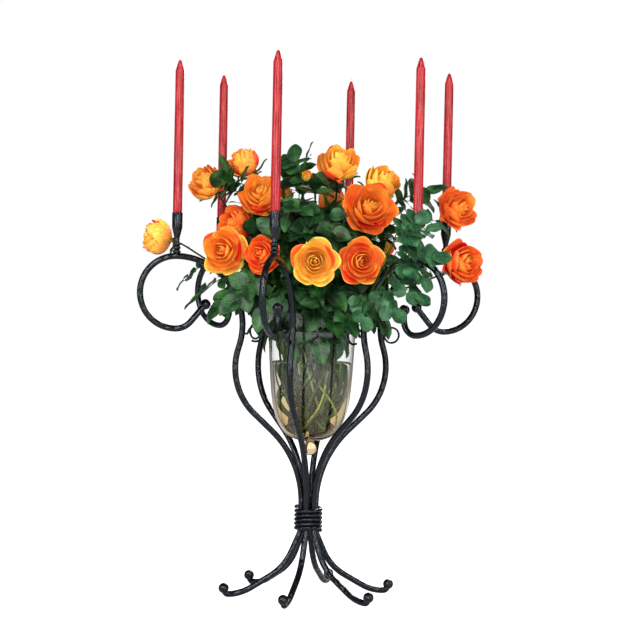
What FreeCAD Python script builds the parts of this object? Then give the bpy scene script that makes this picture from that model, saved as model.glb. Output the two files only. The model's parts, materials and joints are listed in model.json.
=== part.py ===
"""Six-arm wrought-iron floral candelabra, in millimetres, +Z up, standing on Z = 0.

Six bent round bars stand in a ring. Each one runs from a foot, up through a wire-bound waist,
out round a belly, in to a neck, and over an arch into a large scroll. A candle cup stands on
every scroll. The cage that the bars make holds a glass vase with a bouquet of roses.
"""
import FreeCAD, Part
import math
import os
import Sketcher

Vector = FreeCAD.Vector
ARMS = 6

SIZES = [
    # The ring of arms, and the bar that they are bent from.
    ("arm_turn", 15.0),
    ("arm_step", 60.0),
    ("bar_radius", 7.5),
    ("sole_depth", 0.4),
    ("sole_start", 150.0),
    ("sole_end", 260.0),
    ("sole_half_width", 20.0),
    # From the waist down to the toe. Tilts are measured from the vertical.
    ("waist_radius", 18.0),
    ("waist_middle", 185.0),
    ("leg_start", 166.0),
    ("knee_bend", 45.0),
    ("leg_tilt", 24.0),
    ("calf_bend", 130.0),
    ("shin_tilt", 60.0),
    ("toe_bend", 112.0),
    ("toe_reach", 194.0),
    ("upturn_bend", 10.0),
    ("upturn_span", 72.0),
    # From the waist up to the scroll.
    ("flare_start", 222.0),
    ("flare_bend", 242.0),
    ("flare_tilt", 47.0),
    ("belly_bend", 152.5),
    ("belly_reach", 188.0),
    ("cup_circle", 335.0),
    ("arch_top", 814.0),
    ("scroll_bend", 86.0),
    ("half_turn", 180.0),
    ("open_bend", 48.0),
    ("open_span", 50.0),
    ("open_tail", 46.0),
    ("curled_bend", 36.0),
    ("curled_span", 92.0),
    ("curled_tail", 12.0),
    ("ball_radius", 12.6),
    ("ball_stand_off", 8.0),
    # The wire that binds the waist.
    ("wrap_wire_radius", 4.6),
    ("wrap_pitch", 10.3),
    ("wrap_turns", 5.5),
    ("wrap_bottom", 158.0),
    ("wrap_bite", 0.2),
    # The little curls at the neck.
    ("curl_height", 632.0),
    ("curl_bend", 18.5),
    ("curl_wire_radius", 2.7),
    ("curl_span", 300.0),
    ("curl_inner_reach", 140.0),
    ("curl_outer_reach", 201.0),
    ("curl_stub", 12.0),
    # The flat ring inside the neck that the vase's flare rests in.
    ("ring_inner_radius", 106.2),
    ("ring_outer_radius", 125.5),
    ("ring_bottom", 641.0),
    ("ring_thickness", 4.0),
    # The turned candle cup, upwards from the scroll.
    ("cup_foot", 816.0),
    ("cup_top", 917.0),
    ("cup_radius", 12.4),
    ("socket_radius", 10.3),
    ("socket_depth", 24.0),
    ("socket_wall_height", 36.0),
    ("cup_stalk_radius", 6.3),
    ("cup_cone_height", 25.0),
    ("bead_step", 4.0),
    ("foot_bead_bend", 4.7),
    ("lower_bead_bend", 4.9),
    ("upper_bead_bend", 5.3),
    ("upper_bead_height", 10.0),
    ("lower_bead_height", 9.0),
    ("foot_bead_height", 9.0),
    # The candle and its wick.
    ("candle_radius", 11.0),
    ("candle_length", 359.0),
    ("candle_gap", 0.4),
    ("plug_radius", 9.9),
    ("plug_depth", 22.0),
    ("shoulder_height", 4.0),
    ("candle_tip_height", 22.0),
    ("candle_tip_radius", 3.6),
    ("wick_radius", 1.2),
    ("wick_stand", 10.0),
    ("wick_bury", 20.0),
    # The glass vase.
    ("vase_knob_radius", 17.0),
    ("vase_knob_height", 356.0),
    ("vase_neck_radius", 9.0),
    ("vase_neck_height", 371.0),
    ("vase_base_radius", 32.0),
    ("vase_base_height", 376.0),
    ("vase_heel_radius", 70.0),
    ("vase_heel_height", 402.0),
    ("vase_waist_radius", 95.0),
    ("vase_waist_height", 475.0),
    ("vase_throat_radius", 105.0),
    ("vase_throat_height", 634.0),
    ("vase_rim_radius", 118.0),
    ("vase_rim_height", 687.0),
    ("vase_wall", 4.0),
    ("vase_heel_bend", 55.0),
    ("vase_side_bend", 210.0),
    ("vase_flank_bend", 900.0),
    ("vase_flare_bend", 110.0),
    ("water_top", 566.0),
    ("water_gap", 0.4),
    ("stalk_column_radius", 46.0),
    # The bouquet.
    ("stalk_radius", 2.2),
    ("stalk_foot", 402.0),
    ("stalk_bend_height", 640.0),
    ("stalk_bend", 90.0),
    ("stalk_ring", 10.0),
    ("stalk_spread", 0.086),
    ("foliage_bottom", 700.0),
    ("foliage_top", 990.0),
    ("foliage_waist_radius", 108.0),
    ("foliage_waist_height", 760.0),
    ("foliage_wide_radius", 205.0),
    ("foliage_wide_height", 850.0),
    ("foliage_shoulder_radius", 150.0),
    ("foliage_shoulder_height", 955.0),
    ("rose_flatness", 0.38),
]

# Each bloom: its name, turn about the axis, reach from it, height, width, how far it leans out,
# and how far it swings round from facing straight outwards.
BLOOMS = [
    ("rose_1", -177.0, 372.0, 858.0, 98.0, 80.0, 0.0),
    ("rose_2", -176.0, 260.0, 989.0, 90.0, 58.0, 40.0),
    ("rose_3", -180.0, 170.0, 1040.0, 84.0, 48.0, 30.0),
    ("rose_4", -145.0, 155.0, 962.0, 104.0, 62.0, 45.0),
    ("rose_5", -150.0, 244.0, 828.0, 114.0, 88.0, 45.0),
    ("rose_6", -170.0, 188.0, 892.0, 80.0, 70.0, 40.0),
    ("rose_7", -125.0, 205.0, 820.0, 92.0, 84.0, 10.0),
    ("rose_8", -89.0, 222.0, 806.0, 112.0, 88.0, 0.0),
    ("rose_9", -61.0, 228.0, 809.0, 108.0, 88.0, -20.0),
    ("rose_10", -44.0, 178.0, 935.0, 116.0, 72.0, -30.0),
    ("rose_11", -8.0, 162.0, 1000.0, 86.0, 50.0, -40.0),
    ("rose_12", -15.0, 58.0, 1042.0, 102.0, 40.0, -70.0),
    ("rose_13", -1.0, 344.0, 942.0, 104.0, 76.0, -55.0),
    ("rose_14", -7.0, 358.0, 812.0, 106.0, 82.0, -50.0),
]
BUDS = [
    (-112.0, 110.0, 930.0, 46.0, 50.0, 0.0),
    (-110.0, 52.0, 1010.0, 44.0, 20.0, 0.0),
    (-178.0, 108.0, 976.0, 44.0, 40.0, 0.0),
]
BACK_BLOOMS = [
    (40.0, 215.0, 850.0, 104.0, 78.0, 0.0),
    (72.0, 150.0, 955.0, 96.0, 50.0, 0.0),
    (104.0, 225.0, 835.0, 108.0, 82.0, 0.0),
    (128.0, 150.0, 965.0, 92.0, 48.0, 0.0),
    (150.0, 235.0, 850.0, 104.0, 78.0, 0.0),
]
# Each leaf cluster: turn, reach, height, half height, half depth, half breadth.
LEAF_CLUSTERS = [
    (-55.0, 325.0, 850.0, 68.0, 26.0, 34.0),
    (-135.0, 252.0, 735.0, 42.0, 24.0, 62.0),
    (165.0, 235.0, 745.0, 34.0, 22.0, 40.0),
    (-15.0, 250.0, 760.0, 46.0, 24.0, 46.0),
]


class Dim:
    """A length or angle: its value now, and the expression that gives it from the sheet."""

    def __init__(self, value, text):
        self.value = value
        self.text = text

    def __add__(self, other):
        return combine(self, "+", other, self.value + value_of(other))

    def __sub__(self, other):
        return combine(self, "-", other, self.value - value_of(other))

    def __mul__(self, other):
        return combine(self, "*", other, self.value * value_of(other))


def value_of(dim):
    return dim.value if isinstance(dim, Dim) else float(dim)


def text_of(dim):
    return dim.text if isinstance(dim, Dim) else repr(float(dim))


def combine(left, sign, right, value):
    return Dim(value, "(%s %s %s)" % (text_of(left), sign, text_of(right)))


def make_sheet(doc, rows):
    """Write the driving sizes to a sheet, and return them as Dims by name."""
    sheet = doc.addObject("Spreadsheet::Sheet", "Sizes")
    for number, (alias, value) in enumerate(rows, start=1):
        sheet.set("A%d" % number, alias)
        sheet.set("B%d" % number, repr(value))
        sheet.setAlias("B%d" % number, alias)
    doc.recompute()
    return {alias: Dim(value, "Sizes." + alias) for alias, value in rows}


BLOOM_FIELDS = ("turn", "reach", "height", "width", "lean", "swing")


def bloom_rows():
    """Sheet rows for every bloom and leaf cluster."""
    rows = []
    for name, *numbers in BLOOMS:
        rows += solid_rows(name, BLOOM_FIELDS, numbers)
    for group, table in (("bud", BUDS), ("back_rose", BACK_BLOOMS)):
        for index, numbers in enumerate(table, start=1):
            name = "%s_%d" % (group, index)
            rows += solid_rows(name, BLOOM_FIELDS, numbers)
    for index, numbers in enumerate(LEAF_CLUSTERS, start=1):
        fields = ("turn", "reach", "height", "half_height", "half_depth", "half_breadth")
        rows += solid_rows("leaves_%d" % index, fields, numbers)
    return rows


def solid_rows(name, fields, numbers):
    return [("%s_%s" % (name, field), number) for field, number in zip(fields, numbers)]


doc = FreeCAD.newDocument("candelabra")
S = make_sheet(doc, SIZES + bloom_rows())


def bind(thing, path, dim):
    """Drive a property from the sheet."""
    thing.setExpression(path, text_of(dim))


def arm_turn(arm):
    """The turn of an arm about the stand's axis, in degrees from -180 to 180."""
    steps = arm - 1 if arm <= ARMS / 2 else arm - 1 - ARMS
    return S["arm_turn"] + S["arm_step"] * steps


def rotated(dim, turn, function):
    """The X (cos) or Y (sin) part of a length that points along a turn."""
    value = dim.value * getattr(math, function)(math.radians(turn.value))
    return Dim(value, "(%s * %s(%s))" % (dim.text, function, turn.text))


def place_on_arm(thing, turn, reach, height):
    """Bind a placement: out along the turn, up to the height, and facing outwards."""
    bind(thing, "Placement.Base.x", rotated(reach, turn, "cos"))
    bind(thing, "Placement.Base.y", rotated(reach, turn, "sin"))
    bind(thing, "Placement.Base.z", height)
    bind(thing, "Placement.Rotation.Yaw", turn)


# ---------------------------------------------------------------- sketches

def plane_of(body, role):
    return next(f for f in body.Origin.OriginFeatures if f.Role == role)


def new_sketch(body, name, role):
    sketch = body.newObject("Sketcher::SketchObject", name)
    sketch.AttachmentSupport = [(plane_of(body, role), "")]
    sketch.MapMode = "FlatFace"
    return sketch


def constrain(sketch, kind, *where, dim=None):
    """Add a constraint, and bind its value to the sheet when it has one."""
    if dim is None:
        sketch.addConstraint(Sketcher.Constraint(kind, *where))
        return
    value = math.radians(dim.value) if kind == "Angle" else dim.value
    index = sketch.addConstraint(Sketcher.Constraint(kind, *where, value))
    sketch.setExpression("Constraints[%d]" % index, dim.text)


def pin_point(sketch, edge, end, across, up):
    """Hold one end of an edge at (across, up) from the sketch's origin."""
    for kind, dim in (("DistanceX", across), ("DistanceY", up)):
        if isinstance(dim, Dim):
            constrain(sketch, kind, -1, 1, edge, end, dim=dim)
        elif kind == "DistanceX":
            sketch.addConstraint(Sketcher.Constraint("PointOnObject", edge, end, -2))
        else:
            sketch.addConstraint(Sketcher.Constraint("PointOnObject", edge, end, -1))


def circle_sketch(body, name, across, radius, lift):
    """A circle on a plane parallel to the body's XY plane, raised by lift."""
    sketch = new_sketch(body, name, "XY_Plane")
    bind(sketch, "AttachmentOffset.Base.z", lift)
    centre = Vector(across.value, 0, 0)
    sketch.addGeometry(Part.Circle(centre, Vector(0, 0, 1), radius.value), False)
    constrain(sketch, "Radius", 0, dim=radius)
    constrain(sketch, "DistanceX", -1, 1, 0, 3, dim=across)
    sketch.addConstraint(Sketcher.Constraint("PointOnObject", 0, 3, -1))
    return sketch


def arc_between(start, end, radius, bulge):
    """The smaller arc of a radius from start to end; bulge +1 swells to the right of travel."""
    chord = end.sub(start)
    half = chord.Length / 2
    rise = math.sqrt(max(radius * radius - half * half, 0.0))
    right = Vector(chord.y, -chord.x, 0).normalize()
    centre = start.add(end).multiply(0.5).sub(right.multiply(bulge * rise))
    circle = Part.Circle(centre, Vector(0, 0, 1), radius)
    first = circle.parameter(start)
    last = circle.parameter(end)
    if bulge > 0:
        return Part.ArcOfCircle(circle, first, last), (1, 2)
    return Part.ArcOfCircle(circle, last, first), (2, 1)


def outline_sketch(body, name, corners):
    """A closed outline on the XZ plane, for turning about the Z axis.

    Each corner is (across, up) and may carry the arc that follows it: (radius, bulge).
    """
    sketch = new_sketch(body, name, "XZ_Plane")
    ends = []
    for index, corner in enumerate(corners):
        following = corners[(index + 1) % len(corners)]
        start = Vector(value_of(corner[0]), value_of(corner[1]), 0)
        end = Vector(value_of(following[0]), value_of(following[1]), 0)
        if len(corner) == 2:
            sketch.addGeometry(Part.LineSegment(start, end), False)
            ends.append((1, 2))
        else:
            radius, bulge = corner[2]
            arc, order = arc_between(start, end, radius.value, bulge)
            sketch.addGeometry(arc, False)
            constrain(sketch, "Radius", index, dim=radius)
            ends.append(order)
    for index, corner in enumerate(corners):
        before = (index - 1) % len(corners)
        constrain(sketch, "Coincident", before, ends[before][1], index, ends[index][0])
        pin_point(sketch, index, ends[index][0], corner[0], corner[1])
    return sketch


def turned_body(name, corners):
    """A body turned about its Z axis from a closed outline."""
    body = doc.addObject("PartDesign::Body", name)
    sketch = outline_sketch(body, name + "_outline", corners)
    turned = body.newObject("PartDesign::Revolution", name + "_turned")
    turned.Profile = sketch
    turned.ReferenceAxis = (sketch, ["V_Axis"])
    turned.Angle = 360.0
    return body


# ---------------------------------------------------------------- the bent bars

class Route:
    """A path of tangent lines and arcs in the XZ plane, drawn as a pen would draw it."""

    def __init__(self, sketch, across, up, heading):
        self.sketch = sketch
        self.point = Vector(across, up, 0)
        self.heading = heading
        self.last_end = None
        self.count = 0

    def join(self, start_end, far_end):
        """Make the new edge tangent to the edge before it."""
        if self.last_end is not None:
            constrain(self.sketch, "Tangent", self.count - 1, self.last_end, self.count, start_end)
        self.last_end = far_end
        self.count += 1
        return self.count - 1

    def line(self, length):
        turn = math.radians(self.heading)
        end = self.point.add(Vector(math.cos(turn) * length, math.sin(turn) * length, 0))
        self.sketch.addGeometry(Part.LineSegment(self.point, end), False)
        self.point = end
        return self.join(1, 2)

    def arc(self, radius, turn):
        """Turn left by a positive angle, or right by a negative one."""
        side = 1 if turn > 0 else -1
        toward = math.radians(self.heading + 90 * side)
        centre = self.point.add(Vector(math.cos(toward), math.sin(toward), 0).multiply(radius))
        first = toward + math.pi
        last = first + math.radians(turn)
        circle = Part.Circle(centre, Vector(0, 0, 1), radius)
        self.sketch.addGeometry(Part.ArcOfCircle(circle, min(first, last), max(first, last)), False)
        self.point = centre.add(Vector(math.cos(last), math.sin(last), 0).multiply(radius))
        self.heading += turn
        return self.join(1, 2) if side > 0 else self.join(2, 1)


def leg_lengths():
    """The straight lengths of leg and shin that bring the toe to its reach and height."""
    leg, shin = math.radians(S["leg_tilt"].value), math.radians(S["shin_tilt"].value)
    knee, calf, toe = S["knee_bend"].value, S["calf_bend"].value, S["toe_bend"].value
    across = S["toe_reach"].value - S["waist_radius"].value
    across -= knee * (1 - math.cos(leg)) + calf * (math.cos(leg) - math.cos(shin))
    across -= toe * math.cos(shin)
    down = S["leg_start"].value - toe_height().value
    down -= knee * math.sin(leg) + calf * (math.sin(shin) - math.sin(leg))
    down -= toe * (1 - math.sin(shin))
    spread = math.sin(shin - leg)
    leg_run = (down * math.sin(shin) - across * math.cos(shin)) / spread
    shin_run = (across * math.cos(leg) - down * math.sin(leg)) / spread
    return leg_run, shin_run


def toe_height():
    return S["bar_radius"] - S["sole_depth"]


def lower_route(body):
    """Waist, knee, calf, shin, toe and upturned end."""
    sketch = new_sketch(body, "lower_route", "XZ_Plane")
    route = Route(sketch, S["waist_radius"].value, S["waist_middle"].value, -90.0)
    leg_run, shin_run = leg_lengths()
    waist = route.line(S["waist_middle"].value - S["leg_start"].value)
    knee = route.arc(S["knee_bend"].value, S["leg_tilt"].value)
    leg = route.line(leg_run)
    calf = route.arc(S["calf_bend"].value, S["shin_tilt"].value - S["leg_tilt"].value)
    shin = route.line(shin_run)
    toe = route.arc(S["toe_bend"].value, 90.0 - S["shin_tilt"].value)
    upturn = route.arc(S["upturn_bend"].value, S["upturn_span"].value)
    pin_point(sketch, waist, 1, S["waist_radius"], S["waist_middle"])
    constrain(sketch, "Vertical", waist)
    constrain(sketch, "DistanceY", -1, 1, waist, 2, dim=S["leg_start"])
    for edge, bend in ((knee, "knee_bend"), (calf, "calf_bend"), (toe, "toe_bend"), (upturn, "upturn_bend")):
        constrain(sketch, "Radius", edge, dim=S[bend])
    constrain(sketch, "Angle", leg, dim=S["leg_tilt"] - 90.0)
    constrain(sketch, "Angle", shin, dim=S["shin_tilt"] - 90.0)
    pin_point(sketch, toe, 2, S["toe_reach"], toe_height())
    constrain(sketch, "Vertical", toe, 3, toe, 2)
    constrain(sketch, "Angle", upturn, dim=S["upturn_span"])
    return sketch, route


def arch_numbers():
    """The flare's straight run, the belly's inward turn and the arch's radius."""
    tilt = math.radians(S["flare_tilt"].value)
    flare, belly = S["flare_bend"].value, S["belly_bend"].value
    centre_across = S["belly_reach"].value - belly
    flare_across = S["waist_radius"].value + flare * (1 - math.cos(tilt))
    run = (centre_across + belly * math.cos(tilt) - flare_across) / math.sin(tilt)
    centre_up = S["flare_start"].value + (flare + belly) * math.sin(tilt) + run * math.cos(tilt)
    across = S["cup_circle"].value - centre_across
    up = S["arch_top"].value - centre_up
    arch = (across ** 2 + up ** 2 - belly ** 2) / (2 * (up + belly))
    lean = math.degrees(math.atan2(up - arch, across))
    return run, lean, arch


def upper_route(body, finish):
    """Waist, flare, belly, neck and arch, scroll, and the scroll's curled or open finish."""
    sketch = new_sketch(body, "upper_route", "XZ_Plane")
    route = Route(sketch, S["waist_radius"].value, S["waist_middle"].value, 90.0)
    run, lean, arch_bend = arch_numbers()
    waist = route.line(S["flare_start"].value - S["waist_middle"].value)
    flare = route.arc(S["flare_bend"].value, -S["flare_tilt"].value)
    side = route.line(run)
    belly = route.arc(S["belly_bend"].value, S["flare_tilt"].value + lean)
    arch = route.arc(arch_bend, -90.0 - lean)
    scroll = route.arc(S["scroll_bend"].value, -180.0)
    curl = route.arc(S[finish + "_bend"].value, -S[finish + "_span"].value)
    tail = route.line(S[finish + "_tail"].value)
    pin_point(sketch, waist, 1, S["waist_radius"], S["waist_middle"])
    constrain(sketch, "Vertical", waist)
    constrain(sketch, "DistanceY", -1, 1, waist, 2, dim=S["flare_start"])
    constrain(sketch, "Radius", flare, dim=S["flare_bend"])
    constrain(sketch, "Angle", side, dim=S["flare_tilt"] * -1.0 + 90.0)
    constrain(sketch, "Radius", belly, dim=S["belly_bend"])
    constrain(sketch, "DistanceX", -1, 1, belly, 3, dim=S["belly_reach"] - S["belly_bend"])
    pin_point(sketch, arch, 1, S["cup_circle"], S["arch_top"])
    constrain(sketch, "Vertical", arch, 3, arch, 1)
    constrain(sketch, "Radius", scroll, dim=S["scroll_bend"])
    constrain(sketch, "Angle", scroll, dim=S["half_turn"])
    constrain(sketch, "Radius", curl, dim=S[finish + "_bend"])
    constrain(sketch, "Angle", curl, dim=S[finish + "_span"])
    constrain(sketch, "Distance", tail, dim=S[finish + "_tail"])
    return sketch, route


def sweep_bar(body, name, section, route_sketch):
    pipe = body.newObject("PartDesign::AdditivePipe", name)
    pipe.Profile = section
    pipe.Spine = (route_sketch, [])
    return pipe


def flatten_sole(body):
    """Cut the underside of the toe flat where the foot bears on the floor."""
    sketch = new_sketch(body, "sole_cut", "XY_Plane")
    start, end, half = S["sole_start"], S["sole_end"], S["sole_half_width"]
    corners = [(start, half * -1.0), (end, half * -1.0), (end, half), (start, half)]
    for index, corner in enumerate(corners):
        following = corners[(index + 1) % 4]
        first = Vector(corner[0].value, corner[1].value, 0)
        last = Vector(following[0].value, following[1].value, 0)
        sketch.addGeometry(Part.LineSegment(first, last), False)
    for index in range(4):
        constrain(sketch, "Coincident", index, 2, (index + 1) % 4, 1)
        pin_point(sketch, index, 1, *corners[index])
    cut = body.newObject("PartDesign::Pocket", "sole")
    cut.Profile = sketch
    cut.Type = 0
    bind(cut, "Length", S["bar_radius"])
    return cut


def make_stem(arm, finish):
    """One bar, from its foot to the end of its scroll. Returns the body and its two routes."""
    body = doc.addObject("PartDesign::Body", "stem_%d" % arm)
    body.Label = "stem_%d" % arm
    section = circle_sketch(body, "section", S["waist_radius"], S["bar_radius"], S["waist_middle"])
    lower, foot = lower_route(body)
    sweep_bar(body, "leg", section, lower)
    upper, scroll = upper_route(body, finish)
    sweep_bar(body, "arm", section, upper)
    flatten_sole(body)
    bind(body, "Placement.Rotation.Yaw", arm_turn(arm))
    return body, foot, scroll


def fit_to(label, raw, tool):
    """Cut a piece to the shape of the bar that it is welded to."""
    fitted = doc.addObject("Part::Cut", label)
    fitted.Base = raw
    fitted.Tool = tool
    fitted.Label = label
    return fitted


def ball_corners():
    """A ball with a shallow round seat below, which the end of its bar fills."""
    ball, bar, seat = S["ball_radius"], S["bar_radius"], S["ball_stand_off"]
    drop = math.sqrt(ball.value ** 2 - bar.value ** 2)
    rim = Dim(-drop, "(-sqrt(%s ^ 2 - %s ^ 2))" % (ball.text, bar.text))
    return [
        (0.0, seat * -1.0),
        (bar, seat * -1.0),
        (bar, rim, (ball, 1)),
        (0.0, ball),
    ]


def make_ball(label, turn, route):
    """A ball on the end of a bar, in line with the way that the bar's route ends."""
    ball = turned_body(label, ball_corners())
    heading = math.radians(route.heading)
    reach = S["ball_stand_off"] * math.cos(heading) + route.point.x
    height = S["ball_stand_off"] * math.sin(heading) + route.point.y
    yaw = FreeCAD.Rotation(Vector(0, 0, 1), turn.value)
    tip_over = FreeCAD.Rotation(Vector(0, 1, 0), 90.0 - route.heading)
    ball.Placement.Rotation = yaw.multiply(tip_over)
    bind(ball, "Placement.Base.x", rotated(reach, turn, "cos"))
    bind(ball, "Placement.Base.y", rotated(reach, turn, "sin"))
    bind(ball, "Placement.Base.z", height)
    return ball


# ---------------------------------------------------------------- cups and candles

def cup_corners():
    """The cup's outline, up its outside from the scroll and down inside its socket."""
    stalk = S["cup_stalk_radius"]
    foot_bead = S["cup_foot"] + S["bead_step"]
    foot_top = foot_bead + S["foot_bead_height"]
    lower_top = foot_top + S["lower_bead_height"]
    upper_top = lower_top + S["upper_bead_height"]
    cone_foot = S["cup_top"] - S["socket_wall_height"] - S["cup_cone_height"]
    cone_top = S["cup_top"] - S["socket_wall_height"]
    floor = S["cup_top"] - S["socket_depth"]
    return [
        (0.0, S["cup_foot"]),
        (stalk, S["cup_foot"]),
        (stalk, foot_bead, (S["foot_bead_bend"], 1)),
        (stalk, foot_top, (S["lower_bead_bend"], 1)),
        (stalk, lower_top, (S["upper_bead_bend"], 1)),
        (stalk, upper_top),
        (stalk, cone_foot),
        (S["cup_radius"], cone_top),
        (S["cup_radius"], S["cup_top"]),
        (S["socket_radius"], S["cup_top"]),
        (S["socket_radius"], floor),
        (0.0, floor),
    ]


def make_cup(arm, stem):
    body = turned_body("cup_turning_%d" % arm, cup_corners())
    place_on_arm(body, arm_turn(arm), S["cup_circle"], Dim(0.0, "0"))
    return fit_to("candle_cup_%d" % arm, body, stem)


def candle_top():
    return S["cup_top"] + S["candle_length"]


def candle_corners():
    """A tapered plug, the straight shaft, a coned tip, and the hole for the wick."""
    foot = S["cup_top"] - S["plug_depth"]
    shoulder = S["cup_top"] + S["candle_gap"]
    tip = candle_top() - S["candle_tip_height"]
    wick_floor = candle_top() - S["wick_bury"]
    return [
        (0.0, foot),
        (S["plug_radius"] - 1.0, foot),
        (S["plug_radius"], foot + 2.0),
        (S["plug_radius"], shoulder),
        (S["candle_radius"], shoulder + S["shoulder_height"]),
        (S["candle_radius"], tip),
        (S["candle_tip_radius"], candle_top()),
        (S["wick_radius"], candle_top()),
        (S["wick_radius"], wick_floor),
        (0.0, wick_floor),
    ]


def make_candle(arm):
    body = turned_body("candle_%d" % arm, candle_corners())
    body.Label = "candle_%d" % arm
    place_on_arm(body, arm_turn(arm), S["cup_circle"], Dim(0.0, "0"))
    return body


def make_wick(arm):
    wick = doc.addObject("Part::Cylinder", "wick_%d" % arm)
    bind(wick, "Radius", S["wick_radius"])
    bind(wick, "Height", S["wick_bury"] + S["wick_stand"])
    place_on_arm(wick, arm_turn(arm), S["cup_circle"], candle_top() - S["wick_bury"])
    return wick


# ---------------------------------------------------------------- waist wrap and neck curls

def make_waist_wrap():
    """A round wire wound tightly round the six bars."""
    coil_radius = S["waist_radius"] + S["bar_radius"] + S["wrap_wire_radius"] - S["wrap_bite"]
    helix = doc.addObject("Part::Helix", "wrap_route")
    bind(helix, "Pitch", S["wrap_pitch"])
    bind(helix, "Height", S["wrap_pitch"] * S["wrap_turns"].value)
    bind(helix, "Radius", coil_radius)
    section = doc.addObject("Part::Circle", "wrap_section")
    bind(section, "Radius", S["wrap_wire_radius"])
    section.Placement.Rotation = FreeCAD.Rotation(Vector(1, 0, 0), 90)
    bind(section, "Placement.Base.x", coil_radius)
    wrap = doc.addObject("Part::Sweep", "waist_wrap")
    wrap.Sections = [section]
    wrap.Spine = (helix, ["Edge1"])
    wrap.Solid = True
    wrap.Frenet = True
    bind(wrap, "Placement.Base.z", S["wrap_bottom"])
    return wrap


def make_curl(arm, stem):
    """A thin rod that leaves the bar at the neck and rolls into a small open ring."""
    outward = arm % 2 == 1
    side = -1.0 if outward else 1.0
    reach = S["curl_outer_reach"] if outward else S["curl_inner_reach"]
    body = doc.addObject("PartDesign::Body", "curl_%d_blank" % arm)
    sketch = new_sketch(body, "curl_route", "XZ_Plane")
    centre = Vector(reach.value, S["curl_height"].value, 0)
    circle = Part.Circle(centre, Vector(0, 0, 1), S["curl_bend"].value)
    start = math.radians(180.0 if outward else 0.0)
    span = math.radians(S["curl_span"].value)
    sketch.addGeometry(Part.ArcOfCircle(circle, start, start + span), False)
    constrain(sketch, "Radius", 0, dim=S["curl_bend"])
    pin_point(sketch, 0, 3, reach, S["curl_height"])
    constrain(sketch, "Angle", 0, dim=S["curl_span"])
    constrain(sketch, "Horizontal", 0, 1, 0, 3)
    edge = reach + S["curl_bend"] * side
    section = circle_sketch(body, "section", edge, S["curl_wire_radius"], S["curl_height"])
    sweep_bar(body, "ring", section, sketch)
    stub_route = new_sketch(body, "stub_profile", "YZ_Plane")
    bind(stub_route, "AttachmentOffset.Base.z", edge)
    stub_centre = Vector(0, S["curl_height"].value, 0)
    stub_route.addGeometry(Part.Circle(stub_centre, Vector(0, 0, 1), S["curl_wire_radius"].value), False)
    constrain(stub_route, "Radius", 0, dim=S["curl_wire_radius"])
    constrain(stub_route, "DistanceY", -1, 1, 0, 3, dim=S["curl_height"])
    constrain(stub_route, "PointOnObject", 0, 3, -2)
    stub = body.newObject("PartDesign::Pad", "stub")
    stub.Profile = stub_route
    stub.Reversed = outward
    bind(stub, "Length", S["curl_stub"])
    bind(body, "Placement.Rotation.Yaw", arm_turn(arm))
    return fit_to("curl_%d" % arm, body, stem)


def make_vase_ring():
    """A flat ring, welded to the curls that turn inwards, which carries the vase."""
    top = S["ring_bottom"] + S["ring_thickness"]
    return turned_body("vase_ring", [
        (S["ring_inner_radius"], S["ring_bottom"]),
        (S["ring_outer_radius"], S["ring_bottom"]),
        (S["ring_outer_radius"], top),
        (S["ring_inner_radius"], top),
    ])


# ---------------------------------------------------------------- vase and water

def vase_corners():
    """The vase's wall: up the outside from the knob, over the rim, and down the inside."""
    wall = S["vase_wall"]
    return [
        (0.0, S["vase_knob_height"] - S["vase_knob_radius"]),
        (S["vase_knob_radius"], S["vase_knob_height"]),
        (S["vase_neck_radius"], S["vase_neck_height"]),
        (S["vase_base_radius"], S["vase_base_height"], (S["vase_heel_bend"], 1)),
        (S["vase_heel_radius"], S["vase_heel_height"], (S["vase_side_bend"], 1)),
        (S["vase_waist_radius"], S["vase_waist_height"], (S["vase_flank_bend"], 1)),
        (S["vase_throat_radius"], S["vase_throat_height"], (S["vase_flare_bend"], -1)),
        (S["vase_rim_radius"], S["vase_rim_height"]),
        (S["vase_rim_radius"] - wall, S["vase_rim_height"]),
        (S["vase_throat_radius"] - wall, S["vase_throat_height"]),
        (S["vase_waist_radius"] - wall, S["vase_waist_height"]),
        (S["vase_heel_radius"] - wall, S["vase_heel_height"] + 2.0),
        (S["vase_base_radius"], S["vase_base_height"] + wall * 1.5),
        (0.0, S["vase_base_height"] + wall * 1.5),
    ]


def make_vase():
    corners = vase_corners()
    corners[0] = corners[0] + ((S["vase_knob_radius"], 1),)
    vase = turned_body("vase", corners)
    vase.Label = "vase"
    return vase


def make_water():
    """The water round the column of flower stalks."""
    inset = S["vase_wall"] + S["water_gap"]
    floor = S["vase_base_height"] + S["vase_wall"] * 1.5 + S["water_gap"] + 6.0
    column = S["stalk_column_radius"]
    return turned_body("water", [
        (column, floor + 8.0),
        (S["vase_heel_radius"] - inset - 3.0, S["vase_heel_height"] + 8.0),
        (S["vase_waist_radius"] - inset, S["vase_waist_height"]),
        (S["vase_waist_radius"] - inset + 3.6, S["water_top"]),
        (column, S["water_top"]),
    ])


# ---------------------------------------------------------------- bouquet

def bloom_solid(name):
    """A rounded bloom, flatter along the way that it faces."""
    bloom = doc.addObject("Part::Ellipsoid", name)
    bloom.Angle1 = -90.0
    bloom.Angle2 = 90.0
    bloom.Angle3 = 360.0
    bind(bloom, "Radius1", S[name + "_width"] * S["rose_flatness"].value)
    bind(bloom, "Radius2", S[name + "_width"] * 0.5)
    bind(bloom, "Radius3", S[name + "_width"] * 0.5)
    place_on_arm(bloom, S[name + "_turn"], S[name + "_reach"], S[name + "_height"])
    bind(bloom, "Placement.Rotation.Yaw", S[name + "_turn"] + S[name + "_swing"])
    bind(bloom, "Placement.Rotation.Pitch", S[name + "_lean"])
    return bloom


def bloom_group(label, prefix, count):
    """Several small blooms that share one name."""
    group = doc.addObject("Part::Compound", label)
    group.Links = [bloom_solid("%s_%d" % (prefix, index)) for index in range(1, count + 1)]
    return group


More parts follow.
